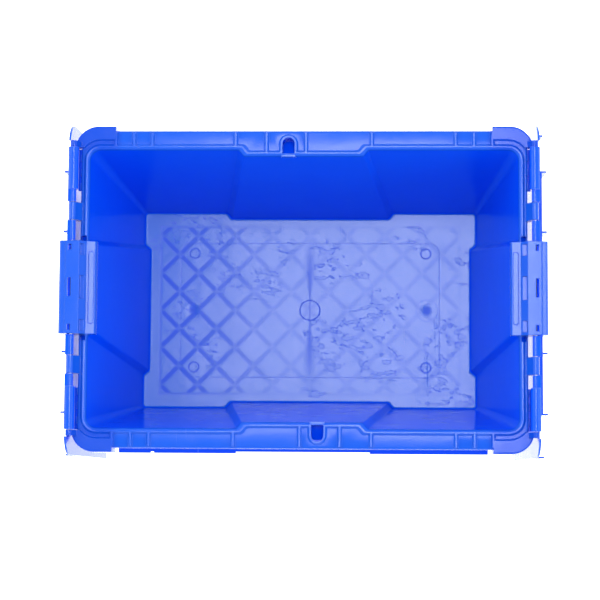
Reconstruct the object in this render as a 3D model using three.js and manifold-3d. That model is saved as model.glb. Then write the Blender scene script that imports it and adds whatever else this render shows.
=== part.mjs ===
// Attached-lid storage crate: a tapered tub with a hinged half lid at each short end, both lids
// opened and hanging down outside the ends. Millimetres, +Z up, base centre at the origin.
import * as THREE from 'three';
import { mergeVertices } from 'three/addons/utils/BufferGeometryUtils.js';
import Module from 'manifold-3d';

const wasm = await Module();
wasm.setup();

// ---------- driving dimensions ----------

// Tub: inner opening at the rim, inner floor, and the mid-wall panels that stand inward.
const RIM_TOP = 305;
const FOOT_HEIGHT = 8;
const FLOOR_TOP = 12;
const WALL = 3;
const MOUTH = { halfX: 266, halfY: 173, radius: 13 };
const FLOOR = { halfX: 229, halfY: 135, radius: 5 };
const PANEL_STEP = 8;
const PANEL_RUN = 9;
const PANEL_CURVE_STEPS = 4;
const LONG_PANEL = { rim: 72.5, floor: 107 };
const SHORT_PANEL = { rim: 52, floor: 82 };
const FLOOR_ROUND = 2.5;

// Marks that the mould leaves on the floor: a sunk middle, the gate's ring, round ejector marks
// and two round dimples.
const SUNK = { halfX: 178.6, halfY: 93, radius: 13, depth: 0.5 };
const GATE = { inner: 13, outer: 14.3, depth: 0.4 };
const EJECTOR = { x: 160, y: 79, radius: 6.2, depth: 0.4 };
const DIMPLE = { x: 161.7, radius: 12, depth: 0.8 };
const MARK_SLOPE = 1.1;

// Rim: raised lip round the mouth, a flat face for the lid, an upright skirt with a flange along
// its lower edge, and four corner caps that reach out to the hinge line.
const LIP_WIDTH = 4.5;
const LIP_ROUND = 3.5;
const LIP_FLARE = 2.4;
const EDGE_ROUND = 2;
const ROUND_ROWS = 3;
const FACE_DROP = 2.5;
const RIM_THICK = 3;
const RIM = { halfX: 276.4, halfY: 197, radius: 24 };
const CAP = { halfX: 283.5, halfY: 202.3, radius: 28, fromX: 233.5, fromY: 175.4, fromMouth: 11 };
const SKIRT_THICK = 2.5;
const SKIRT_DROP = 40;
const FLANGE = {
  halfX: 229, halfY: 202.3, middleHalfX: 83, middleHalfY: 200.3, notchX: -187, fall: 0.9,
};
const RIDGE_X = [84.5, 188.2, 210.8, 233.5];
const RIDGE = { top: 2.4, foot: 6.4 };
const SEAL = {
  x: 18.7, width: 15, inY: 168, outY: 188, pocketFrom: -3, pocketTo: 46,
  bead: 2.4, trayDepth: 22, traySlope: 25,
};

// Hinges: one steel rod along each short end, above and outside the rim.
const AXIS_X = 284.8;
const AXIS_Z = RIM_TOP + 6.5;
const ROD_RADIUS = 2;
const ROD_HALF = 179.2;
const BORE_RADIUS = 2.35;
const KNUCKLE = { from: 84, to: 106, radius: 4.6 };
const END_NUB = { from: CAP.fromY, to: 182.6 };
const EAR_LEDGE = { from: 122.5, to: 174.5, reach: 281, drop: 14, thick: 3.5 };

// Handle block in the middle of each short end, hollow from below for the fingers.
const HANDLE = {
  halfY: 57.5, inner: 255, outer: 300, wall: 2.5, ledgeTo: 267.5, crestFrom: 275.4, crestTo: 292,
  top: RIM_TOP + 12.5, ledge: RIM_TOP + 4, ledgeFall: 0.8, bottom: RIM_TOP - 18,
};
const GRIP_POCKET = { from: 269, to: 274.6, floor: RIM_TOP + 6 };
const RIM_POCKET = { from: 268, to: 275, width: 6.5, high: 5, low: 12, wall: 1.4 };
const GRIP_PAD = { from: 258, to: 264.4, halfY: 44.5, round: 2.6, height: 1.2 };

// Half lid, drawn closed and relative to its hinge axis: it reaches along -X and lies below the axis.
const LID_TOP = -3.7;
const LID_THICK = 2.5;
const LID_UNDER = LID_TOP - LID_THICK;
const LID_HALF_Y = 205.7;
const LID_CORNER = 30;
const LID_HINGE_EDGE = 3;
const LID_GAP = 0.6;
const RAIL_RADIUS = 3.8;
const EAR = { from: 122, to: 174.8, radius: 6.2 };
const TOOTH = { depth: 8, pitch: 33, count: 10 };
const LID_RIB = { height: 15, thick: 2.2, start: 48, spacing: 76, count: 5, crossHeight: 9 };
const LID_SKIRT = { height: 15, start: 85, thick: 2.2 };
const LID_HANG_DEG = 272.5;

const ROUND_STEPS = 20;
const DISC_STEPS = 32;
const CORNER_STEPS = 6;

// ---------- solids ----------

function solid(geometry) {
  const bare = geometry.clone();
  bare.deleteAttribute('normal');
  bare.deleteAttribute('uv');
  const merged = mergeVertices(bare, 1e-4);
  return new wasm.Manifold(new wasm.Mesh({
    numProp: 3,
    vertProperties: Float32Array.from(merged.attributes.position.array),
    triVerts: Uint32Array.from(merged.index.array),
  }));
}

function join(solids) {
  return solids.reduce((whole, next) => whole.add(next));
}

function cut(whole, tools) {
  return tools.reduce((left, tool) => left.subtract(tool), whole);
}

function geometryOf(manifold) {
  const mesh = manifold.getMesh();
  const geometry = new THREE.BufferGeometry();
  geometry.setAttribute('position', new THREE.BufferAttribute(mesh.vertProperties, 3));
  geometry.setIndex(new THREE.BufferAttribute(mesh.triVerts, 1));
  geometry.computeVertexNormals();
  return geometry;
}

function box(x0, x1, y0, y1, z0, z1) {
  const geometry = new THREE.BoxGeometry(x1 - x0, y1 - y0, z1 - z0);
  return solid(geometry.translate((x0 + x1) / 2, (y0 + y1) / 2, (z0 + z1) / 2));
}

// A flat outline in X and Y, raised from z0 to z1.
function slab(shape, z0, z1) {
  const geometry = new THREE.ExtrudeGeometry(shape, {
    depth: z1 - z0, bevelEnabled: false, curveSegments: CORNER_STEPS,
  });
  return solid(geometry.translate(0, 0, z0));
}

// A profile of [x, z] points, carried along Y from y0 to y1.
function carried(profile, y0, y1) {
  const shape = new THREE.Shape(profile.map(([x, z]) => new THREE.Vector2(x, z)));
  const geometry = new THREE.ExtrudeGeometry(shape, { depth: y1 - y0, bevelEnabled: false });
  return solid(geometry.rotateX(Math.PI / 2).translate(0, y1, 0));
}

// A round bar along Y.
function bar(radius, x, z, y0, y1) {
  const geometry = new THREE.CylinderGeometry(radius, radius, y1 - y0, ROUND_STEPS);
  return solid(geometry.translate(x, (y0 + y1) / 2, z));
}

function turned(manifold, halfTurns) {
  return halfTurns ? manifold.rotate([0, 0, 180 * halfTurns]) : manifold;
}

function bothEnds(manifold) {
  return [0, 1].map((halfTurns) => turned(manifold, halfTurns));
}

function roundedRect(halfX, halfY, radius) {
  const shape = new THREE.Shape();
  shape.moveTo(halfX, -halfY + radius);
  shape.lineTo(halfX, halfY - radius);
  shape.absarc(halfX - radius, halfY - radius, radius, 0, Math.PI / 2);
  shape.lineTo(-halfX + radius, halfY);
  shape.absarc(-halfX + radius, halfY - radius, radius, Math.PI / 2, Math.PI);
  shape.lineTo(-halfX, -halfY + radius);
  shape.absarc(-halfX + radius, -halfY + radius, radius, Math.PI, Math.PI * 1.5);
  shape.lineTo(halfX - radius, -halfY);
  shape.absarc(halfX - radius, -halfY + radius, radius, Math.PI * 1.5, Math.PI * 2);
  return shape;
}

// ---------- the tub ----------

// Eases from 0 to 1 with a level start and end.
const smooth = (part) => part * part * (3 - 2 * part);

// Section of the tub at a level from 0 (floor) to 1 (rim), moved outward by grow. Each wall has
// a middle panel that stands inward by PANEL_STEP, with an S-curve at each side.
function tubOutline(level, grow) {
  const mix = (low, high) => low + (high - low) * level;
  const halfX = mix(FLOOR.halfX, MOUTH.halfX) + grow;
  const halfY = mix(FLOOR.halfY, MOUTH.halfY) + grow;
  const radius = mix(FLOOR.radius, MOUTH.radius) + grow;
  const longHalf = mix(LONG_PANEL.floor, LONG_PANEL.rim) - grow;
  const shortHalf = mix(SHORT_PANEL.floor, SHORT_PANEL.rim) - grow;
  const points = [];
  for (let side = 0; side < 4; side += 1) {
    const turn = side * Math.PI / 2;
    const across = side % 2 === 0 ? halfX : halfY;
    const along = side % 2 === 0 ? halfY : halfX;
    const panel = side % 2 === 0 ? shortHalf : longHalf;
    const local = [];
    for (let step = 0; step <= PANEL_CURVE_STEPS; step += 1) {
      const part = step / PANEL_CURVE_STEPS;
      local.push([across - PANEL_STEP * smooth(part), -panel - PANEL_RUN * (1 - part)]);
    }
    for (let step = PANEL_CURVE_STEPS; step >= 0; step -= 1) {
      const part = step / PANEL_CURVE_STEPS;
      local.push([across - PANEL_STEP * smooth(part), panel + PANEL_RUN * (1 - part)]);
    }
    for (let step = 0; step <= CORNER_STEPS; step += 1) {
      const angle = (step / CORNER_STEPS) * Math.PI / 2;
      local.push([
        across - radius + radius * Math.cos(angle),
        along - radius + radius * Math.sin(angle),
      ]);
    }
    for (const [x, y] of local) {
      points.push(new THREE.Vector2(x, y).rotateAround(new THREE.Vector2(), turn));
    }
  }
  return points;
}

// A closed skin through sections of equal point count, each { z, outline }.
function loft(sections) {
  const count = sections[0].outline.length;
  const positions = sections.flatMap(({ z, outline }) => outline.flatMap((p) => [p.x, p.y, z]));
  const index = [];
  for (let row = 0; row + 1 < sections.length; row += 1) {
    for (let i = 0; i < count; i += 1) {
      const a = row * count + i;
      const b = row * count + (i + 1) % count;
      index.push(a, b, b + count, a, b + count, a + count);
    }
  }
  const last = (sections.length - 1) * count;
  for (const [a, b, c] of THREE.ShapeUtils.triangulateShape(sections[0].outline, [])) {
    index.push(c, b, a);
  }
  for (const [a, b, c] of THREE.ShapeUtils.triangulateShape(sections.at(-1).outline, [])) {
    index.push(last + a, last + b, last + c);
  }
  const geometry = new THREE.BufferGeometry();
  geometry.setAttribute('position', new THREE.Float32BufferAttribute(positions, 3));
  geometry.setIndex(index);
  return solid(geometry);
}

const levelAt = (z) => (z - FLOOR_TOP) / (RIM_TOP - FLOOR_TOP);

function tubSkin(bottom, top, grow) {
  return loft([bottom, top].map((z) => ({ z, outline: tubOutline(levelAt(z), grow) })));
}

// The hollow of the tub: rounded into the floor, straight walls, and rounded over the lip.
function mouthTool() {
  const sections = [];
  const add = (z, grow) => sections.push({ z, outline: tubOutline(levelAt(z), grow) });
  for (let row = 0; row <= ROUND_ROWS; row += 1) {
    const angle = (row / ROUND_ROWS) * Math.PI / 2;
    add(FLOOR_TOP + FLOOR_ROUND * (1 - Math.cos(angle)), -FLOOR_ROUND * (1 - Math.sin(angle)));
  }
  for (let row = 0; row <= ROUND_ROWS; row += 1) {
    const angle = (row / ROUND_ROWS) * Math.PI / 2;
    add(RIM_TOP - LIP_ROUND * (1 - Math.sin(angle)), LIP_ROUND * (1 - Math.cos(angle)));
  }
  add(RIM_TOP + 3, LIP_ROUND);
  return loft(sections);
}

function circle(radius, x, y) {
  const points = [];
  for (let step = 0; step < DISC_STEPS; step += 1) {
    const angle = (step / DISC_STEPS) * Math.PI * 2;
    points.push(new THREE.Vector2(x + radius * Math.cos(angle), y + radius * Math.sin(angle)));
  }
  return points;
}

// A tool for a flat-bottomed mark with a gently sloping edge. outlineAt(grow) is its outline.
function markTool(outlineAt, depth, top) {
  return loft([
    { z: top - depth, outline: outlineAt(0) },
    { z: top, outline: outlineAt(MARK_SLOPE) },
    { z: top + 1, outline: outlineAt(MARK_SLOPE) },
  ]);
}

// A shallow bowl, deepest in the middle.
function bowl(radius, depth, x, y, z) {
  const profile = [new THREE.Vector2(0, -depth)];
  for (let row = 1; row <= ROUND_ROWS; row += 1) {
    const part = row / ROUND_ROWS;
    profile.push(new THREE.Vector2(radius * part, -depth * (1 - smooth(part))));
  }
  profile.push(new THREE.Vector2(radius, 1), new THREE.Vector2(0, 1));
  const geometry = new THREE.LatheGeometry(profile, DISC_STEPS);
  return solid(geometry.rotateX(Math.PI / 2).translate(x, y, z));
}

function floorMarks() {
  const sunkTop = FLOOR_TOP - SUNK.depth;
  const sunkOutline = (grow) => roundedRect(
    SUNK.halfX + grow, SUNK.halfY + grow, SUNK.radius + grow).getPoints(CORNER_STEPS).slice(1);
  const gateIsland = loft([
    { z: sunkTop - GATE.depth - 1, outline: circle(GATE.inner, 0, 0) },
    { z: sunkTop - GATE.depth, outline: circle(GATE.inner, 0, 0) },
    { z: sunkTop, outline: circle(GATE.inner - MARK_SLOPE, 0, 0) },
    { z: sunkTop + 2, outline: circle(GATE.inner - MARK_SLOPE, 0, 0) },
  ]);
  const gate = markTool((grow) => circle(GATE.outer + grow, 0, 0), GATE.depth, sunkTop);
  const marks = [markTool(sunkOutline, SUNK.depth, FLOOR_TOP), gate.subtract(gateIsland)];
  for (const x of [-1, 1]) {
    marks.push(bowl(DIMPLE.radius, DIMPLE.depth, x * DIMPLE.x, 0, sunkTop));
    for (const y of [-1, 1]) {
      marks.push(markTool((grow) => circle(EJECTOR.radius + grow, x * EJECTOR.x, y * EJECTOR.y),
        EJECTOR.depth, sunkTop));
    }
  }
  return marks;
}

function ring(outer, inner, z0, z1) {
  return slab(outer, z0, z1).subtract(slab(inner, z0 - 1, z1 + 1));
}

// A slab whose outline is insetOutline(0), with its upper edge rounded over by EDGE_ROUND.
function roundedSlab(insetOutline, z0, z1) {
  const section = (z, inset) => ({ z, outline: insetOutline(inset).getPoints(CORNER_STEPS).slice(1) });
  const sections = [section(z0, 0)];
  for (let row = 0; row <= ROUND_ROWS; row += 1) {
    const angle = (row / ROUND_ROWS) * Math.PI / 2;
    sections.push(section(
      z1 - EDGE_ROUND * (1 - Math.sin(angle)), EDGE_ROUND * (1 - Math.cos(angle)),
    ));
  }
  return loft(sections);
}

function rimRect(inset) {
  return roundedRect(RIM.halfX - inset, RIM.halfY - inset, RIM.radius - inset);
}

function capRect(inset) {
  return roundedRect(CAP.halfX - inset, CAP.halfY - inset, CAP.radius - inset);
}

// Rounded corners of the rim, level with the lip, each with a skirt of its own.
function cornerCaps() {
  const low = RIM_TOP - SKIRT_DROP;
  const shell = roundedSlab(capRect, RIM_TOP - RIM_THICK, RIM_TOP)
    .add(ring(capRect(0), capRect(SKIRT_THICK), low, RIM_TOP - EDGE_ROUND));
  const mouthSide = loft([
    { z: low - 1, outline: tubOutline(1, CAP.fromMouth) },
    { z: RIM_TOP - FACE_DROP, outline: tubOutline(1, CAP.fromMouth) },
    { z: RIM_TOP + 0.5, outline: tubOutline(1, CAP.fromMouth + LIP_FLARE) },
  ]);
  const middle = box(-CAP.fromX, CAP.fromX, -300, 300, 0, 400);
  const ends = box(-300, 300, -CAP.fromY, CAP.fromY, 0, 400);
  const webs = [];
  for (const x of [-1, 1]) {
    for (const y of [-1, 1]) {
      webs.push(box(
        Math.min(x * CAP.fromX, x * (CAP.fromX + 2)), Math.max(x * CAP.fromX, x * (CAP.fromX + 2)),
        Math.min(y * (RIM.halfY - 1), y * (CAP.halfY - 0.5)),
        Math.max(y * (RIM.halfY - 1), y * (CAP.halfY - 0.5)), low, RIM_TOP - EDGE_ROUND,
      ));
    }
  }
  return join([cut(shell, [middle, ends, mouthSide]), ...webs]);
}

// Stiffening flange along the lower edge of each long skirt, narrower in the middle. Its top
// falls away outward.
function flanges() {
  const low = RIM_TOP - SKIRT_DROP;
  const high = low + SKIRT_THICK;
  const outline = (halfY) => [[1, -1], [1, 1], [-1, 1], [-1, -1]]
    .map(([x, y]) => new THREE.Vector2(x * FLANGE.halfX, y * halfY));
  const wide = cut(
    loft([
      { z: low, outline: outline(FLANGE.halfY) },
      { z: high - FLANGE.fall, outline: outline(FLANGE.halfY) },
      { z: high, outline: outline(RIM.halfY) },
    ]),
    [
      box(-FLANGE.middleHalfX, FLANGE.middleHalfX, -300, -FLANGE.middleHalfY, 0, 400),
      box(-FLANGE.middleHalfX, FLANGE.middleHalfX, FLANGE.middleHalfY, 300, 0, 400),
      ...bothEnds(box(FLANGE.notchX - 2, FLANGE.notchX + 2, -300, -RIM.halfY - 3.5, 0, 400)),
    ],
  );
  return wide.subtract(slab(rimRect(SKIRT_THICK), 0, 400));
}

// A raised ridge along Y with sloping sides, on the rim face.
function ridge(x, y0, y1) {
  const low = RIM_TOP - FACE_DROP - 0.5;
  return carried([
    [x - RIDGE.foot / 2, low], [x + RIDGE.foot / 2, low],
    [x + RIDGE.top / 2, RIM_TOP], [x - RIDGE.top / 2, RIM_TOP],
  ], y0, y1);
}

// The lip round the mouth, sloping down to the rim face on its outer side.
function lip() {
  const faceTop = RIM_TOP - FACE_DROP;
  return loft([
    { z: faceTop - RIM_THICK, outline: tubOutline(1, LIP_WIDTH + LIP_FLARE) },
    { z: faceTop, outline: tubOutline(1, LIP_WIDTH + LIP_FLARE) },
    { z: RIM_TOP - 0.5, outline: tubOutline(1, LIP_WIDTH + 0.4) },
    { z: RIM_TOP, outline: tubOutline(1, LIP_WIDTH) },
  ]);
}

function rim() {
  const faceTop = RIM_TOP - FACE_DROP;
  const pieces = [
    roundedSlab(rimRect, faceTop - RIM_THICK, faceTop),
    lip(),
    ring(rimRect(0), rimRect(SKIRT_THICK), RIM_TOP - SKIRT_DROP, faceTop - EDGE_ROUND),
    flanges(),
    cornerCaps(),
  ];
  for (const x of RIDGE_X) {
    for (const middle of [-x, x]) {
      pieces.push(ridge(middle, -RIM.halfY + EDGE_ROUND, RIM.halfY - EDGE_ROUND));
    }
  }
  return join(pieces);
}

// Upright webs under the rim, between the tub wall and the skirt.
function gussets() {
  const webs = [];
  const low = RIM_TOP - SKIRT_DROP + 6;
  const high = RIM_TOP - FACE_DROP - 1;
  for (const x of [...RIDGE_X, 135]) {
    for (const side of [-1, 1]) {
      webs.push(box(side * x - 1, side * x + 1, -RIM.halfY + 1, RIM.halfY - 1, low, high));
    }
  }
  for (const y of [68, 95, 130]) {
    for (const side of [-1, 1]) {
      webs.push(box(-RIM.halfX + 1, RIM.halfX - 1, side * y - 1, side * y + 1, low, high));
    }
  }
  return join(webs).subtract(slab(roundedRect(240, 150, 5), 0, 400));
}

// The security-seal hole: ridges and a bead beside it, a tongue at its inner end, a tray below it.
function sealShape(grow) {
  const half = SEAL.width / 2 + grow;
  const centreY = -SEAL.outY + SEAL.width / 2;
  const shape = new THREE.Shape();
  shape.moveTo(SEAL.x - half, -SEAL.inY + grow);
  shape.lineTo(SEAL.x - half, centreY);
  shape.absarc(SEAL.x, centreY, half, Math.PI, Math.PI * 2);
  shape.lineTo(SEAL.x + half, -SEAL.inY + grow);
  return shape;
}

function sealSurround() {
  const ridges = [SEAL.pocketFrom, SEAL.pocketTo].map((x) => ridge(
    x, -RIM.halfY + EDGE_ROUND, -MOUTH.halfY + PANEL_STEP - 3));
  const beadSection = (z, grow) => ({ z, outline: sealShape(grow).getPoints(CORNER_STEPS) });
  const bead = loft([
    beadSection(RIM_TOP - RIM_THICK, SEAL.bead + LIP_FLARE), beadSection(RIM_TOP, SEAL.bead),
  ]);
  const tray = slab(sealShape(SEAL.bead), RIM_TOP - SEAL.trayDepth - WALL, RIM_TOP - RIM_THICK);
  return join([...ridges, bead, tray]);
}

function sealTongue() {
  const inner = MOUTH.halfY - PANEL_STEP;
  return box(SEAL.x - 9, SEAL.x + 9, -inner - 3, -inner + 1.2, RIM_TOP - 16, RIM_TOP - 0.4);
}

const sealHole = () => slab(sealShape(0), RIM_TOP - SEAL.trayDepth, RIM_TOP + 5);

// The tray's sloping bottom.
function sealSlope() {
  const within = slab(sealShape(0.5), RIM_TOP - SEAL.trayDepth - 1, RIM_TOP - 6);
  const wedge = box(-10, 10, -18, 18, -20, 0).rotate([SEAL.traySlope, 0, 0])
    .translate([SEAL.x, (-SEAL.inY - SEAL.outY) / 2, RIM_TOP - SEAL.trayDepth + 3]);
  return wedge.intersect(within);
}

function base() {
  const foot = ring(roundedRect(222, 128, 8), roundedRect(206.6, 116, 4), 0, FOOT_HEIGHT + 1);
  const cross = join([
    box(-210, 210, -1.5, 1.5, 1, FOOT_HEIGHT + 1),
    box(-1.5, 1.5, -120, 120, 1, FOOT_HEIGHT + 1),
  ]);
  return foot.add(cross);
}

// ---------- hinge parts of the crate, drawn at the +X end ----------

const boreTool = () => bar(BORE_RADIUS, AXIS_X, AXIS_Z, -ROD_HALF - 0.4, ROD_HALF + 0.4);

function knuckle(y0, y1) {
  const root = RIM.halfX - SKIRT_THICK;
  const { radius } = KNUCKLE;
  const arm = carried([
    [root, RIM_TOP - FACE_DROP], [root, RIM_TOP - 16], [RIM.halfX, RIM_TOP - 16],
    [AXIS_X + 1.5, RIM_TOP - 1], [AXIS_X + radius - 0.6, AXIS_Z], [AXIS_X, AXIS_Z + radius - 0.3],
    [AXIS_X - radius + 0.3, AXIS_Z + 1], [RIM.halfX, RIM_TOP],
  ], y0, y1);
  return arm.add(bar(radius, AXIS_X, AXIS_Z, y0, y1));
}

function handleBlock() {
  const {
    halfY, inner, outer, top, ledge, ledgeFall, bottom, wall, ledgeTo, crestFrom, crestTo,
  } = HANDLE;
  const low = RIM_TOP - 10;
  const outside = carried([
    [inner, low], [inner, ledge - ledgeFall - 1.8], [inner + 1.6, ledge - ledgeFall],
    [ledgeTo, ledge], [ledgeTo + 0.6, ledge + 0.8], [crestFrom, top], [crestTo, top],
    [crestTo + 0.9, top - 0.9], [outer - 2.2, top - 0.9], [outer, top - 3.4],
    [outer, bottom], [RIM.halfX, bottom], [RIM.halfX, low],
  ], -halfY, halfY);
  const inside = carried([
    [inner + wall, low - 20], [inner + wall, ledge - ledgeFall - wall],
    [crestFrom + 1, ledge - wall], [crestFrom + 4, top - wall],
    [crestTo - 1, top - wall], [outer - wall, top - wall - 3], [outer - wall, bottom - 10],
  ], -halfY + wall, halfY - wall);
  const ribs = [-38, -19, 19, 38].map((y) => carried([
    [inner + 1, RIM_TOP - 6], [inner + 1, ledge - ledgeFall - 1.5], [ledgeTo + 0.5, ledge - 0.5],
    [crestFrom + 1, top - 1], [crestTo - 1, top - 1], [outer - 1, top - 4.2],
    [outer - 1, RIM_TOP - 1], [AXIS_X, RIM_TOP - 2], [RIM.halfX, RIM_TOP - 8],
  ], y - 1.25, y + 1.25));
  return join([cut(outside, [inside]), ...ribs, gripPad()]);
}

// A low pad with round ends along the inner side of the handle's top.
function gripPad() {
  const halfWidth = (GRIP_PAD.to - GRIP_PAD.from) / 2;
  const pad = slab(roundedRect(halfWidth, GRIP_PAD.halfY, GRIP_PAD.round), -1.5, GRIP_PAD.height);
  const run = HANDLE.ledgeTo - HANDLE.inner - 1.6;
  const centre = GRIP_PAD.from + halfWidth;
  const fall = HANDLE.ledgeFall * (HANDLE.ledgeTo - centre) / run;
  const tilt = Math.atan2(HANDLE.ledgeFall, run) * 180 / Math.PI;
  return pad.rotate([0, -tilt, 0]).translate([centre, 0, HANDLE.ledge - fall]);
}

function handleSlots() {
  const slots = [];
  for (const [y0, y1] of [[-53, -46], [-11.5, 11.5], [46, 53]]) {
    slots.push(box(AXIS_X + 0.4, AXIS_X + 4.2, y0, y1, AXIS_Z + 3, HANDLE.top + 1));
  }
  for (const [y0, y1] of [[-54, -40], [-14.5, 14.5], [40, 54]]) {
    slots.push(box(GRIP_POCKET.from, GRIP_POCKET.to, y0, y1, GRIP_POCKET.floor, HANDLE.top + 1));
  }
  return slots;
}

// Small pockets in the rim face, one on each side of the handle block. Each has thin walls and a
// bottom that slopes down outward.
function rimPockets(grow, above) {
  const { from, to, width, high, low } = RIM_POCKET;
  const start = HANDLE.halfY + 0.8 - grow;
  const end = HANDLE.halfY + 0.8 + width + grow;
  return [-1, 1].map((side) => carried([
    [from - grow, above], [from - grow, RIM_TOP - high - grow],
    [to + grow, RIM_TOP - low - grow], [to + grow, above],
  ], Math.min(side * start, side * end), Math.max(side * start, side * end)));
}

// Low ledges and bumpers on the outside of the rim, facing the lid's ears.
function earSide(side) {
  const { from, to, reach, drop, thick } = EAR_LEDGE;
  const root = RIM.halfX - 1;
  const parts = [box(root, reach, Math.min(side * from, side * to), Math.max(side * from, side * to),
    RIM_TOP - drop, RIM_TOP - drop + thick)];
  for (const y of [127, 145, 163]) {
    parts.push(box(root, RIM.halfX + 1.4, side * y - 4, side * y + 4, RIM_TOP - drop, RIM_TOP - 5));
  }
  return join(parts);
}

function fingerRoom() {
  const { halfY, outer, wall } = HANDLE;
  return box(MOUTH.halfX - 4, outer - wall, -halfY + wall, halfY - wall, RIM_TOP - 60, RIM_TOP - 8);
}

function hingeEnd() {
  const parts = [];
  for (const side of [-1, 1]) {
    for (const { from, to } of [KNUCKLE, END_NUB]) {
      parts.push(knuckle(Math.min(side * from, side * to), Math.max(side * from, side * to)));
    }
  }
  return join(parts);
}

function crateBody() {
  const ends = bothEnds(hingeEnd());
  const seals = bothEnds(sealSurround());
  const shell = join([tubSkin(FOOT_HEIGHT, RIM_TOP - 2, WALL), rim(), gussets(), ...seals]);
  const fingers = bothEnds(fingerRoom().subtract(tubSkin(FOOT_HEIGHT, RIM_TOP + 3, WALL)));
  const open = cut(shell, [mouthTool(), ...floorMarks(), ...fingers]);
  const cups = bothEnds(join(rimPockets(RIM_POCKET.wall, RIM_TOP - FACE_DROP - 0.5)));
  const pierced = cut(join([open, ...cups]), bothEnds(join(rimPockets(0, RIM_TOP + 5))));
  const full = join([
    pierced, base(), ...bothEnds(sealTongue()), ...bothEnds(join([earSide(-1), earSide(1)])),
    ...bothEnds(handleBlock()), ...ends,
  ]);
  const holed = cut(full, [
    ...bothEnds(sealHole()), ...bothEnds(boreTool()), ...bothEnds(join(handleSlots())),
  ]);
  return join([holed, ...bothEnds(sealSlope())]);
}

// ---------- the half lid, closed, relative to its hinge axis ----------

function toothedEdge() {
  const points = [];
  const half = TOOTH.pitch / 4;
  const reach = TOOTH.pitch * TOOTH.count / 2;
  points.push([0, -LID_HALF_Y], [0, -reach]);
  for (let y = -reach + half; y < reach; y += 2 * half) {
    const phase = Math.round((y + reach - half) / (2 * half));
    points.push([phase % 2 === 0 ? TOOTH.depth : -TOOTH.depth, y]);
  }
  points.push([0, reach], [0, LID_HALF_Y]);
  return points.map(([x, y]) => new THREE.Vector2(x - AXIS_X + LID_GAP, y));
}

function lidPlate() {
  const shape = new THREE.Shape();
  const edge = LID_HINGE_EDGE;
  const round = LID_CORNER;
  const teeth = toothedEdge();
  shape.moveTo(edge, -LID_HALF_Y + round);
  shape.lineTo(edge, LID_HALF_Y - round);
  shape.absarc(edge - round, LID_HALF_Y - round, round, 0, Math.PI / 2);
  for (const point of teeth.reverse()) shape.lineTo(point.x, point.y);
  shape.lineTo(edge - round, -LID_HALF_Y);
  shape.absarc(edge - round, -LID_HALF_Y + round, round, -Math.PI / 2, 0);
  return slab(shape, LID_UNDER, LID_TOP);
}

function lidNotches() {
  const far = AXIS_X - HANDLE.inner + 3.2;
  const notches = [box(-far, 20, -HANDLE.halfY - 0.8, HANDLE.halfY + 0.8, -30, 10)];
  const clear = 0.7;
  const reach = AXIS_X - RIM.halfX + 5;
  for (const side of [-1, 1]) {
    for (const { from, to } of [KNUCKLE, END_NUB]) {
      const y0 = Math.min(side * (from - clear), side * (to + clear));
      const y1 = Math.max(side * (from - clear), side * (to + clear));
      notches.push(box(-reach, 20, y0, y1, -30, 10));
    }
  }
  return notches;
}

function lidRail(y0, y1, radius) {
  const web = carried([
    [LID_HINGE_EDGE, LID_UNDER], [LID_HINGE_EDGE, -radius * 0.5], [-radius * 0.9, -radius * 0.3],
    [-radius * 0.9 - 3, LID_UNDER],
  ], y0, y1);
  return web.add(bar(radius, 0, 0, y0, y1));
}

function lidRibs() {
  const ribs = [];
  const low = LID_UNDER - LID_RIB.height;
  const free = -AXIS_X + TOOTH.depth + 3;
  const ribSpan = LID_RIB.spacing * (LID_RIB.count - 1) / 2 + LID_RIB.thick / 2;
  for (let i = 0; i < LID_RIB.count; i += 1) {
    const y = (i - (LID_RIB.count - 1) / 2) * LID_RIB.spacing;
    ribs.push(box(free, -LID_RIB.start, y - LID_RIB.thick / 2, y + LID_RIB.thick / 2, low, LID_TOP - 1));
  }
  for (const x of [-LID_RIB.start - 1.1, (free - LID_RIB.start) / 2, free + 1.1]) {
    ribs.push(box(x - 1.1, x + 1.1, -ribSpan, ribSpan, LID_UNDER - LID_RIB.crossHeight, LID_TOP - 1));
  }
  for (const side of [-1, 1]) {
    const outside = side * LID_HALF_Y;
    const inside = side * (LID_HALF_Y - LID_SKIRT.thick);
    ribs.push(box(-AXIS_X + 2.5, -LID_SKIRT.start, Math.min(outside, inside), Math.max(outside, inside),
      LID_UNDER - LID_SKIRT.height, LID_TOP - 1));
  }
  return ribs;
}

function halfLid() {
  const rails = [];
  for (const side of [-1, 1]) {
    const spans = [
      [HANDLE.halfY + 0.8, KNUCKLE.from - 0.7, RAIL_RADIUS],
      [KNUCKLE.to + 0.7, EAR.from, RAIL_RADIUS],
      [EAR.from, EAR.to, EAR.radius],
    ];
    for (const [from, to, radius] of spans) {
      rails.push(lidRail(Math.min(side * from, side * to), Math.max(side * from, side * to), radius));
    }
  }
  const plate = cut(lidPlate(), lidNotches());
  const sealHoleInLid = bar(4, 0, 0, -10, 10).rotate([90, 0, 0])
    .translate([SEAL.x - AXIS_X, -178, LID_UNDER]);
  const whole = join([plate, ...lidRibs(), ...rails]);
  return cut(whole, [bar(BORE_RADIUS, 0, 0, -210, 210), sealHoleInLid]);
}

// ---------- the assembly ----------

const bluePlastic = () => new THREE.MeshStandardMaterial({
  color: 0x0b4fe8, roughness: 0.35, metalness: 0,
});
const steel = () => new THREE.MeshStandardMaterial({
  color: 0xb9bcc2, roughness: 0.35, metalness: 1,
});

function named(name, manifold, material) {
  const mesh = new THREE.Mesh(geometryOf(manifold), material);
  mesh.name = name;
  return mesh;
}

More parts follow.
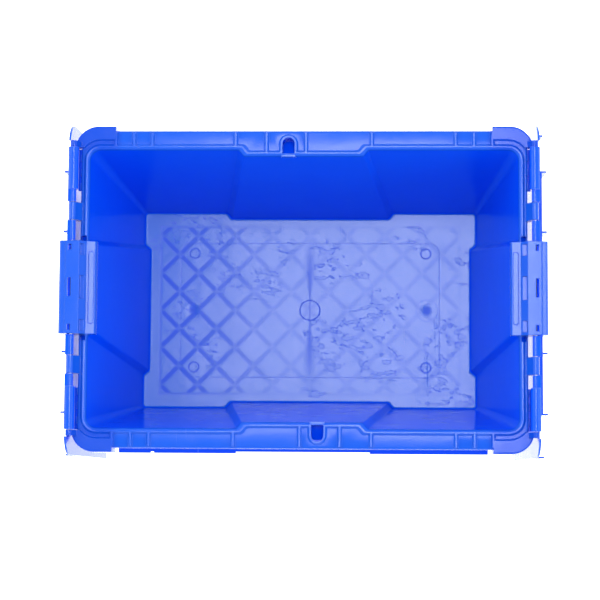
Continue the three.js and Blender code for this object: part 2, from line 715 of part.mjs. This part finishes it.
// One hinge with its rod and hanging lid at the +X end; a half turn puts it at the -X end.
function hingeGroup(sideName, halfTurns) {
  const group = new THREE.Group();
  const rod = named(`hinge_rod_${sideName}`, bar(ROD_RADIUS, 0, 0, -ROD_HALF, ROD_HALF), steel());
  const lid = named(`lid_${sideName}`, halfLid(), bluePlastic());
  rod.position.set(AXIS_X, 0, AXIS_Z);
  lid.position.set(AXIS_X, 0, AXIS_Z);
  lid.rotation.y = THREE.MathUtils.degToRad(LID_HANG_DEG);
  group.rotation.z = Math.PI * halfTurns;
  group.add(rod, lid);
  return group;
}

const crate = new THREE.Group();
crate.add(named('crate_body', crateBody(), bluePlastic()));
crate.add(hingeGroup('right', 0), hingeGroup('left', 1));

export default crate;
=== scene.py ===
"""Attached-lid storage crate: looks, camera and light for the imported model."""
import math

import bmesh
import bpy
from mathutils import Euler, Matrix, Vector


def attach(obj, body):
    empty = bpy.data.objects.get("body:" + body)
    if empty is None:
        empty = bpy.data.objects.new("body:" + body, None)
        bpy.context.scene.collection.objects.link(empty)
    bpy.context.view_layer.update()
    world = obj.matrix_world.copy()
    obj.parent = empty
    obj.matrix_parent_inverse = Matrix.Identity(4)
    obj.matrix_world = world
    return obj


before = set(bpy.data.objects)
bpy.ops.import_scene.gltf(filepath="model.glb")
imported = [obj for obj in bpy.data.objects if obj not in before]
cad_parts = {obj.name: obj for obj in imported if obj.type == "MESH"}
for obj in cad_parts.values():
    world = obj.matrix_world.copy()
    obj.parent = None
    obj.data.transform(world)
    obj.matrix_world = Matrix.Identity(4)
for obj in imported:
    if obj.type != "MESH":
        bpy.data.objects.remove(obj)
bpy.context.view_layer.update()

MM = 0.001

# ---------- sizes ----------

# The diamond ribs under the floor: half a diamond's width, and half the length and width of the
# frame that holds them.
RIB_STEP = 25.8 * MM
GRID_X = 206.4 * MM
GRID_Y = 116.0 * MM

# The same ribs as a mesh: bottom and top, half a rib's width along X, and the frame around them.
RIB_LOW = 2.2 * MM
RIB_HIGH = 9.2 * MM
RIB_HALF = 1.9 * MM
RIB_ROUND = 0.4 * MM
GRID_GAP = 0.6 * MM
GRID_FRAME = 2.4 * MM
CELL_CORNER = 5 * MM
CORNER_SHARE = 0.45
SAME_POINT = 0.01 * MM

# The marks that the mould leaves in the floor. Each is a shallow shape of the CAD solid, and the
# material draws its outline. Pins are at four places, dimples at two.
GATE_RADIUS = 13.7 * MM
PIN_X = 160.0 * MM
PIN_Y = 79.0 * MM
PIN_RADIUS = 6.8 * MM
SUNK_X = 178.6 * MM
SUNK_Y = 93.0 * MM
SUNK_CORNER = 13.0 * MM
DIMPLE_X = 161.7 * MM
DIMPLE_RADIUS = 15 * MM
OUTLINE = 1.3 * MM
PIN_OUTLINE = 1.7 * MM

# Where one surface ends and the next begins, as the two ends of a soft step.
FLOOR_BELOW = (9.6 * MM, 10.2 * MM)
FLOOR_ABOVE = (13.2 * MM, 12.4 * MM)
RIM_FACE = (298 * MM, 302 * MM)
CAP_X = (224 * MM, 236 * MM)
CAP_Y = (166 * MM, 178 * MM)

# Rounding of the CAD solids' edges. The weld closes slivers. EDGE_ROUND is the bevel's upper limit:
# the overlap clamp leaves about 0.01 mm of it on the crate and 0.05 mm on the lids, and all of it on
# the rods. The rounding that shows is EDGE_LOOK, which only the material has.
WELD_REACH = 0.22 * MM
FLAT_ANGLE = math.radians(1)
EDGE_ROUND = 0.8 * MM
EDGE_ANGLE = math.radians(33)
# EDGE_LOOK also sets the width of the painted highlight along edges.
EDGE_LOOK = 1.3 * MM

# ---------- colours ----------

BLUE = ((0.0, 0.068, 0.78, 1), (0.0, 0.084, 0.86, 1))
# Pale blue for the scuffs, which are wear, and for the painted highlight along edges.
SCUFF_AND_HIGHLIGHT_BLUE = (0.16, 0.34, 0.88, 1)
# The floor's greyer blue is painted sheen: the walls' plastic, tinted on the floor as though it
# reflected the overhead light.
FLOOR_SHEEN_BLUE = ((0.010, 0.125, 0.55, 1), (0.032, 0.160, 0.58, 1))
# The floor's deep blue: painted shade of the ribs and the middle line, and the colour of the other
# floor marks and stains.
FLOOR_SHADE_AND_MARK_BLUE = (0.0, 0.060, 0.62, 1)
# The rim's top and its corner caps are the same plastic, painted darker as shade on the tops that the
# overhead lamp lights most.
RIM_SHADE_BLUE = (0.006, 0.082, 0.50, 1)
CAP_SHADE_BLUE = (0.0, 0.046, 0.50, 1)
STEEL = ((0.62, 0.63, 0.65, 1), (0.80, 0.81, 0.82, 1))
WHITE = (1, 1, 1, 1)
PALE_GREY = (0.9, 0.9, 0.9, 1)

CRATE_ROUGH = 0.14
LID_ROUGH = 0.09
PLASTIC_SPECULAR = 0.25

# ---------- camera, light and studio floor ----------

CAMERA_AT = Vector((81.0, -247.8, 2678.0)) * MM
CAMERA_TURN = (0.098, 0.0353, 0.003)
CAMERA_LENS = 116.4
CAMERA_SENSOR = 36.0

# The sky fades from SIDE_GLOW to TOP_GLOW between these two heights of the view direction.
SKY_FADE = (0.70, 0.97)
SIDE_GLOW = 1.25
TOP_GLOW = 0.42

FLOOR_HALF = 6.0
FLOOR_GAP = 0.3 * MM
FLOOR_ROUGH = 0.9
FLOOR_GLOW = 1.4

# Name, place, the point it faces, size and power in watts.
LAMPS = (
    ("overhead", (0.08, 0.32, 3.2), (0, 0, 0), (1.05, 0.95), 48),
    ("side_right", (2.6, -0.6, 1.6), (0, 0, 0.15), (1.6, 1.2), 15),
    ("side_left", (-2.4, 0.8, 1.8), (0, 0, 0.15), (1.6, 1.2), 15),
)


def add_camera():
    data = bpy.data.cameras.new("camera")
    data.lens = CAMERA_LENS
    data.sensor_width = CAMERA_SENSOR
    camera = bpy.data.objects.new("camera", data)
    camera.rotation_mode = "ZYX"
    camera.rotation_euler = Euler(CAMERA_TURN, "ZYX")
    camera.location = CAMERA_AT
    bpy.context.collection.objects.link(camera)
    bpy.context.scene.camera = camera


def add_lamp(name, at, aim, size, power):
    data = bpy.data.lights.new(name, "AREA")
    data.shape = "RECTANGLE"
    data.size, data.size_y = size
    data.energy = power
    lamp = bpy.data.objects.new(name, data)
    lamp.location = at
    lamp.rotation_euler = (Vector(aim) - Vector(at)).to_track_quat("-Z", "Y").to_euler()
    bpy.context.collection.objects.link(lamp)


def add_world():
    """A white studio that is dimmer straight overhead, so rounded edges catch the brighter walls."""
    world = bpy.data.worlds.new("studio")
    world.use_nodes = True
    tree = world.node_tree
    place = tree.nodes.new("ShaderNodeTexCoord")
    split = tree.nodes.new("ShaderNodeSeparateXYZ")
    fade = tree.nodes.new("ShaderNodeMapRange")
    fade.interpolation_type = "SMOOTHSTEP"
    for socket, value in enumerate((*SKY_FADE, SIDE_GLOW, TOP_GLOW), start=1):
        fade.inputs[socket].default_value = value
    tree.links.new(place.outputs["Generated"], split.inputs[0])
    tree.links.new(split.outputs["Z"], fade.inputs[0])
    tree.links.new(fade.outputs[0], tree.nodes["Background"].inputs["Strength"])
    tree.nodes["Background"].inputs["Color"].default_value = WHITE
    bpy.context.scene.world = world


def add_floor():
    """The pale studio floor. It glows a little, like a light table, so shadows stay soft."""
    mesh = bpy.data.meshes.new("floor")
    signs = ((-1, -1), (1, -1), (1, 1), (-1, 1))
    corners = [(x * FLOOR_HALF, y * FLOOR_HALF, -FLOOR_GAP) for x, y in signs]
    mesh.from_pydata(corners, [], [(0, 1, 2, 3)])
    floor = bpy.data.objects.new("floor", mesh)
    bpy.context.collection.objects.link(floor)
    material = bpy.data.materials.new("pale_floor")
    material.use_nodes = True
    shader = material.node_tree.nodes["Principled BSDF"]
    shader.inputs["Base Color"].default_value = PALE_GREY
    shader.inputs["Roughness"].default_value = FLOOR_ROUGH
    shader.inputs["Emission Color"].default_value = WHITE
    shader.inputs["Emission Strength"].default_value = FLOOR_GLOW
    mesh.materials.append(material)


# ---------- materials ----------


class Nodes:
    """Short calls for building a material's node tree."""

    def __init__(self, name):
        self.material = bpy.data.materials.new(name)
        self.material.use_nodes = True
        self.tree = self.material.node_tree
        self.shader = self.tree.nodes["Principled BSDF"]

    def add(self, kind, inputs=None, **settings):
        """Adds a node. An input that is a socket is linked, and any other input is set."""
        node = self.tree.nodes.new(kind)
        for key, value in settings.items():
            setattr(node, key, value)
        for socket, source in (inputs or {}).items():
            if isinstance(source, bpy.types.NodeSocket):
                self.tree.links.new(source, node.inputs[socket])
            else:
                node.inputs[socket].default_value = source
        return node

    def math(self, operation, *values, clamp=False):
        inputs = dict(enumerate(values))
        return self.add("ShaderNodeMath", inputs, operation=operation, use_clamp=clamp).outputs[0]

    def size(self, value):
        return self.math("ABSOLUTE", value)

    def minus(self, a, b, clamp=False):
        return self.math("SUBTRACT", a, b, clamp=clamp)

    def times(self, a, b):
        return self.math("MULTIPLY", a, b)

    def scaled(self, value, factor, base, clamp=False):
        """value * factor + base"""
        return self.math("MULTIPLY_ADD", value, factor, base, clamp=clamp)

    def most(self, a, b):
        return self.math("MAXIMUM", a, b)

    def length(self, x, y):
        return self.math("SQRT", self.scaled(x, x, self.times(y, y)))

    def mix(self, factor, a, b):
        # Inputs 6 and 7 of the mix node are its two colours.
        return self.add("ShaderNodeMix", {0: factor, 6: a, 7: b}, data_type="RGBA").outputs[2]

    def step(self, source, low, high):
        """A soft step: 0 at low, 1 at high."""
        inputs = {0: source, 1: low, 2: high}
        settings = {"clamp": True, "interpolation_type": "SMOOTHSTEP"}
        return self.add("ShaderNodeMapRange", inputs, **settings).outputs[0]

    def line(self, distance, half_width):
        """1 where a distance is zero, falling to 0 at half_width on either side."""
        return self.minus(1.0, self.math("DIVIDE", self.size(distance), half_width), clamp=True)

    def noise(self, at, scale, detail=4.0):
        inputs = {"Vector": at, "Scale": scale, "Detail": detail}
        return self.add("ShaderNodeTexNoise", inputs).outputs["Fac"]

    def stretched(self, at, stretch, turn=0.0, shift=0.0):
        return self.add("ShaderNodeMapping", {
            "Vector": at, "Scale": stretch, "Rotation": (0.0, 0.0, turn),
            "Location": (shift, shift, 0.0),
        }).outputs[0]

    def link(self, source, socket):
        self.tree.links.new(source, self.shader.inputs[socket])


def edge_highlight(n, rounded):
    """Painted highlight: 1 along edges, convex and concave alike, and 0 on flat faces; it is how far
    the rounded normal leans from the true one.
    """
    true_normal = n.add("ShaderNodeNewGeometry").outputs["Normal"]
    lean = n.add("ShaderNodeVectorMath", {0: rounded, 1: true_normal}, operation="DOT_PRODUCT")
    flat, leaning = 0.995, 0.93
    return n.step(lean.outputs["Value"], flat, leaning)


def scuffs(n, at):
    """Thin scratches in two directions, in patches, on faces that look up or down."""
    steep, level = 0.4, 0.7
    clean, scratched = 0.70, 0.78
    outside_patch, inside_patch = 0.50, 0.66
    normal = n.add("ShaderNodeNewGeometry").outputs["True Normal"]
    upright = n.size(n.add("ShaderNodeSeparateXYZ", {0: normal}).outputs["Z"])
    scratches = []
    for turn, shift in ((0.6, 0.0), (-0.9, 3.7)):
        lay = n.stretched(at, (420.0, 9.0, 60.0), turn, shift)
        scratches.append(n.step(n.noise(lay, scale=1.0, detail=2.0), clean, scratched))
    patches = n.step(n.noise(at, scale=9.0, detail=2.0), outside_patch, inside_patch)
    return n.times(n.most(*scratches), n.times(n.step(upright, steep, level), patches))


def stains(n, at):
    """Dried marks with a darker outline, as a patchy noise cut at a level."""
    outside_patch, inside_patch = 0.52, 0.59
    start, edge, middle = 0.845, 0.860, 0.885
    fine_share, inside_share = 0.55, 0.18
    where = n.step(n.noise(at, scale=15.0, detail=1.0), outside_patch, inside_patch)
    coarse = n.noise(n.stretched(at, (0.6, 1.5, 1.0), turn=0.75), scale=78.0, detail=2.0)
    level = n.scaled(n.noise(at, scale=150.0, detail=3.0), fine_share, coarse)
    inside = n.step(level, start, edge)
    outline = n.minus(inside, n.step(level, edge, middle))
    return n.math("MULTIPLY", n.scaled(inside, inside_share, outline), where, clamp=True)


def rib_shade(n, x, y):
    """Painted shade: darker lines where the diamond ribs below hold back the light through the thin
    floor, plain on the left and faint on the right.
    """
    far_off, near = 0.155, 0.02
    crossing_fade, frame_depth = 0.45, 0.5
    soft, frame_soft = 2 * MM, 4 * MM
    faint_from, plain_from = -40 * MM, -215 * MM
    added_left, everywhere = 0.52, 0.14
    lines = []
    for sign in (1.0, -1.0):
        along = n.math("DIVIDE", n.scaled(y, sign, x), 2 * RIB_STEP)
        off = n.size(n.minus(n.math("FRACT", n.math("ADD", along, 0.5)), 0.5))
        lines.append(n.step(off, far_off, near))
    crossed = n.scaled(n.times(*lines), -crossing_fade, n.most(*lines), clamp=True)
    across, up = n.size(x), n.size(y)
    within = n.times(n.step(across, GRID_X, GRID_X - soft), n.step(up, GRID_Y, GRID_Y - soft))
    short_side = n.step(n.size(n.minus(across, GRID_X)), frame_soft, 0)
    long_side = n.step(n.size(n.minus(up, GRID_Y)), frame_soft, 0)
    inner = n.times(
        n.step(across, GRID_X + frame_soft, GRID_X),
        n.step(up, GRID_Y + frame_soft, GRID_Y),
    )
    frame_line = n.times(n.times(n.most(short_side, long_side), inner), frame_depth)
    whole = n.most(n.times(crossed, within), frame_line)
    fade = n.scaled(n.step(x, faint_from, plain_from), added_left, everywhere)
    return n.times(whole, fade)


def mould_marks(n, x, y):
    """Thin outlines: the gate's ring, the four ejector pins and the edge of the sunk middle."""
    pin_strength, sunk_strength = 0.9, 0.42
    across, up = n.size(x), n.size(y)
    gate = n.line(n.minus(n.length(x, y), GATE_RADIUS), OUTLINE)
    to_pin = n.length(n.minus(across, PIN_X), n.minus(up, PIN_Y))
    pin = n.line(n.minus(to_pin, PIN_RADIUS), PIN_OUTLINE)
    past_x = n.most(n.minus(across, SUNK_X - SUNK_CORNER), 0.0)
    past_y = n.most(n.minus(up, SUNK_Y - SUNK_CORNER), 0.0)
    sunk = n.line(n.minus(n.length(past_x, past_y), SUNK_CORNER), OUTLINE)
    return n.most(n.most(gate, n.times(pin, pin_strength)), n.times(sunk, sunk_strength))


def middle_line(n, x, y):
    """The dark line across the middle of the floor: a thin weld line, with painted shade that widens it
    towards its ends, where it fades out.
    """
    narrow, widened = 2 * MM, 8 * MM
    up = n.size(y)
    reach = n.scaled(n.step(up, 14 * MM, 62 * MM), widened, narrow)
    return n.times(n.line(x, reach), n.step(up, 118 * MM, 50 * MM))


def dimples(n, x, y):
    """The two shallow dimples: a dark hub and a faint ring around it."""
    ring_strength = 0.4
    hub = n.length(n.minus(n.size(x), DIMPLE_X), y)
    ring = n.line(n.minus(hub, DIMPLE_RADIUS), OUTLINE)
    return n.most(n.step(hub, 9 * MM, 2 * MM), n.times(ring, ring_strength))


def floor_tone(n, at):
    """How deep the floor's blue is, from the painted shade of the ribs and the middle line and from the
    other marks and stains, and how much a point is on the floor.
    """
    x, y, z = n.add("ShaderNodeSeparateXYZ", {0: at}).outputs
    tone = rib_shade(n, x, y)
    for mark, strength in (
        (middle_line(n, x, y), 0.4),
        (dimples(n, x, y), 0.6),
        (mould_marks(n, x, y), 0.8),
        (stains(n, at), 0.65),
    ):
        tone = n.most(tone, n.times(mark, strength))
    on_floor = n.times(n.step(z, *FLOOR_ABOVE), n.step(z, *FLOOR_BELOW))
    return tone, on_floor


def rim_shades(n, at):
    """How much a point is on the top of the rim, which gets painted shade, and on one of its corner
    caps, which get darker painted shade.
    """
    x, y, z = n.add("ShaderNodeSeparateXYZ", {0: at}).outputs
    top = n.step(z, *RIM_FACE)
    corner = n.times(n.step(n.size(x), *CAP_X), n.step(n.size(y), *CAP_Y))
    return top, n.times(corner, top)


def crate_tones(n, at, colour):
    """The crate's colour with painted sheen on its floor, painted shade on the rim's top and darker
    painted shade on its caps, and the floor's marks.
    """
    rim_shade_strength, cap_shade_strength = 0.75, 0.7
    tone, on_floor = floor_tone(n, at)
    # Painted sheen: the floor's greyer blue, in random patches.
    pale = n.mix(n.noise(at, scale=14.0), *FLOOR_SHEEN_BLUE)
    colour = n.mix(on_floor, colour, n.mix(tone, pale, FLOOR_SHADE_AND_MARK_BLUE))
    top, cap = rim_shades(n, at)
    # Painted shade on the rim's top, and darker painted shade on its caps.
    colour = n.mix(n.times(top, rim_shade_strength), colour, RIM_SHADE_BLUE)
    colour = n.mix(n.times(cap, cap_shade_strength), colour, CAP_SHADE_BLUE)
    return colour, n.times(tone, on_floor)


def blue_plastic(name, with_floor=False, smoothest=CRATE_ROUGH):
    scuff_and_highlight_strength, rougher_marks = 0.55, 0.4
    n = Nodes(name)
    at = n.add("ShaderNodeTexCoord").outputs["Object"]
    rounded = n.add("ShaderNodeBevel", {"Radius": EDGE_LOOK}, samples=6).outputs[0]
    patchy = n.scaled(n.noise(at, scale=70.0), 0.5, 0.4)
    scratch = scuffs(n, at)
    # Pale marks: real scuffs, and a painted highlight along every edge, in patches.
    mark = n.times(n.most(n.times(edge_highlight(n, rounded), patchy), scratch), scuff_and_highlight_strength)
    colour = n.mix(mark, n.mix(n.noise(at, scale=6.0), *BLUE), SCUFF_AND_HIGHLIGHT_BLUE)
    rough = n.scaled(n.noise(at, scale=35.0), 0.10, smoothest)
    rough = n.scaled(mark, rougher_marks, rough)
    wave = n.noise(at, scale=24.0, detail=2.0)
    if with_floor:
        # Where the floor's blue deepens, for painted shade and marks alike, it is also rougher and dips
        # a little.
        colour, sunk = crate_tones(n, at, colour)
        rough = n.scaled(sunk, rougher_marks, rough)
        wave = n.scaled(sunk, -0.2, wave)
    grain = n.scaled(scratch, -0.5, n.noise(at, scale=900.0, detail=2.0))
    soft = n.add("ShaderNodeBump", {
        "Strength": 0.5, "Distance": 0.7 * MM, "Height": wave, "Normal": rounded,
    })
    fine = n.add("ShaderNodeBump", {
        "Strength": 0.06, "Distance": 0.3 * MM, "Height": grain, "Normal": soft.outputs[0],
    })
    n.link(colour, "Base Color")
    n.link(rough, "Roughness")
    n.link(fine.outputs[0], "Normal")
    n.shader.inputs["Specular IOR Level"].default_value = PLASTIC_SPECULAR
    return n.material


def rod_steel(name):
    """Drawn steel wire, with streaks along Y, the way the rods lie."""
    n = Nodes(name)
    at = n.add("ShaderNodeTexCoord").outputs["Object"]
    streaks = n.noise(n.stretched(at, (900.0, 8.0, 900.0)), scale=1.0)
    n.link(n.mix(streaks, *STEEL), "Base Color")
    n.link(n.scaled(streaks, 0.2, 0.35), "Roughness")
    n.shader.inputs["Metallic"].default_value = 1.0
    return n.material


def soften(obj):
    """Joins the CAD solid's triangles, merges flat faces and bevels sharp edges, as far as they fit."""
    weld = obj.modifiers.new("weld", "WELD")
    weld.merge_threshold = WELD_REACH
    merge = obj.modifiers.new("merge", "DECIMATE")
    merge.decimate_type = "DISSOLVE"
    merge.angle_limit = FLAT_ANGLE
    bevel = obj.modifiers.new("round", "BEVEL")
    bevel.width = EDGE_ROUND
    bevel.segments = 2
    bevel.limit_method = "ANGLE"
    bevel.angle_limit = EDGE_ANGLE
    bevel.use_clamp_overlap = True
    normals = obj.modifiers.new("normals", "WEIGHTED_NORMAL")
    normals.keep_sharp = True
    obj.data.polygons.foreach_set("use_smooth", [True] * len(obj.data.polygons))


def dress(node, material):
    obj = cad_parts[node]
    for slot in obj.material_slots:
        slot.material = material
    if not obj.material_slots:
        obj.data.materials.append(material)
    soften(obj)


# ---------- the ribs under the floor ----------


def clipped(corners, axis, sign, limit):
    """Keeps the part of a convex outline where sign * coordinate is at most limit."""
    kept = []
    for index, here in enumerate(corners):
        after = corners[(index + 1) % len(corners)]
        in_here, in_after = sign * here[axis] <= limit, sign * after[axis] <= limit
        if in_here:
            kept.append(here)
        if in_here != in_after:
            part = (sign * limit - here[axis]) / (after[axis] - here[axis])
            kept.append(tuple(a + (b - a) * part for a, b in zip(here, after)))
    return kept


def rounded_corners(corners, radius, steps=4):
    """Replaces each corner of a convex outline by a short curve."""
    outline = []
    for index, corner in enumerate(corners):
        here = Vector(corner)
        ends = []
        for other in (corners[index - 1], corners[(index + 1) % len(corners)]):
            away = Vector(other) - here
            ends.append(here + away.normalized() * min(radius, away.length * CORNER_SHARE))
        for step in range(steps + 1):
            part = step / steps
            rest = 1 - part
            outline.append(ends[0] * rest ** 2 + here * 2 * part * rest + ends[1] * part ** 2)
    return outline


def diamond_cells(half_x, half_y):
    """Openings between the ribs: diamonds on a square lattice, cut off at the frame."""
    cells = []
    reach = RIB_STEP - RIB_HALF
    columns = math.ceil(half_x / RIB_STEP)
    rows = math.ceil(half_y / RIB_STEP)
    for column in range(-columns, columns + 1):
        for row in range(-rows, rows + 1):
            if (column + row) % 2 == 0:
                continue
            x, y = column * RIB_STEP, row * RIB_STEP
            cell = [(x + reach, y), (x, y + reach), (x - reach, y), (x, y - reach)]
            for axis, limit in ((0, half_x), (1, half_y)):
                for sign in (1, -1):
                    cell = clipped(cell, axis, sign, limit)
            if len(cell) > 2:
                cells.append(rounded_corners(cell, CELL_CORNER))
    return cells


def pierced_plate(name, outline, holes, thick, edge):
    """A flat plate with holes and rounded edges, made as a filled curve and kept as a mesh."""
    curve = bpy.data.curves.new(name, "CURVE")
    curve.dimensions = "2D"
    curve.fill_mode = "BOTH"
    curve.extrude = thick / 2 - edge
    curve.bevel_depth = edge
    curve.bevel_resolution = 1
    curve.offset = -edge
    for points in [outline, *holes]:
        spline = curve.splines.new("POLY")
        spline.points.add(len(points) - 1)
        for point, (x, y) in zip(spline.points, points):
            point.co = (x, y, 0, 1)
        spline.use_cyclic_u = True
    source = bpy.data.objects.new(name + "_curve", curve)
    mesh = bpy.data.meshes.new_from_object(source)
    bpy.data.objects.remove(source)
    weld = bmesh.new()
    weld.from_mesh(mesh)
    bmesh.ops.remove_doubles(weld, verts=weld.verts, dist=SAME_POINT)
    bmesh.ops.recalc_face_normals(weld, faces=weld.faces)
    weld.to_mesh(mesh)
    weld.free()
    plate = bpy.data.objects.new(name, mesh)
    bpy.context.collection.objects.link(plate)
    return plate


def add_underside_grid(material):
    half_x, half_y = GRID_X - GRID_GAP, GRID_Y - GRID_GAP
    outline = [(half_x, -half_y), (half_x, half_y), (-half_x, half_y), (-half_x, -half_y)]
    cells = diamond_cells(half_x - GRID_FRAME, half_y - GRID_FRAME)
    grid = pierced_plate("underside_grid", outline, cells, RIB_HIGH - RIB_LOW, RIB_ROUND)
    for vertex in grid.data.vertices:
        vertex.co.z += (RIB_LOW + RIB_HIGH) / 2
    grid.data.materials.append(material)
    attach(grid, "crate")


bpy.context.scene.view_settings.view_transform = "Standard"
add_camera()
add_floor()
add_world()
for lamp in LAMPS:
    add_lamp(*lamp)
dress("crate_body", blue_plastic("crate_plastic", with_floor=True))
for node in ("lid_left", "lid_right"):
    dress(node, blue_plastic(f"plastic_{node}", smoothest=LID_ROUGH))
for node in ("hinge_rod_left", "hinge_rod_right"):
    dress(node, rod_steel(f"steel_{node}"))
add_underside_grid(blue_plastic("underside_plastic"))
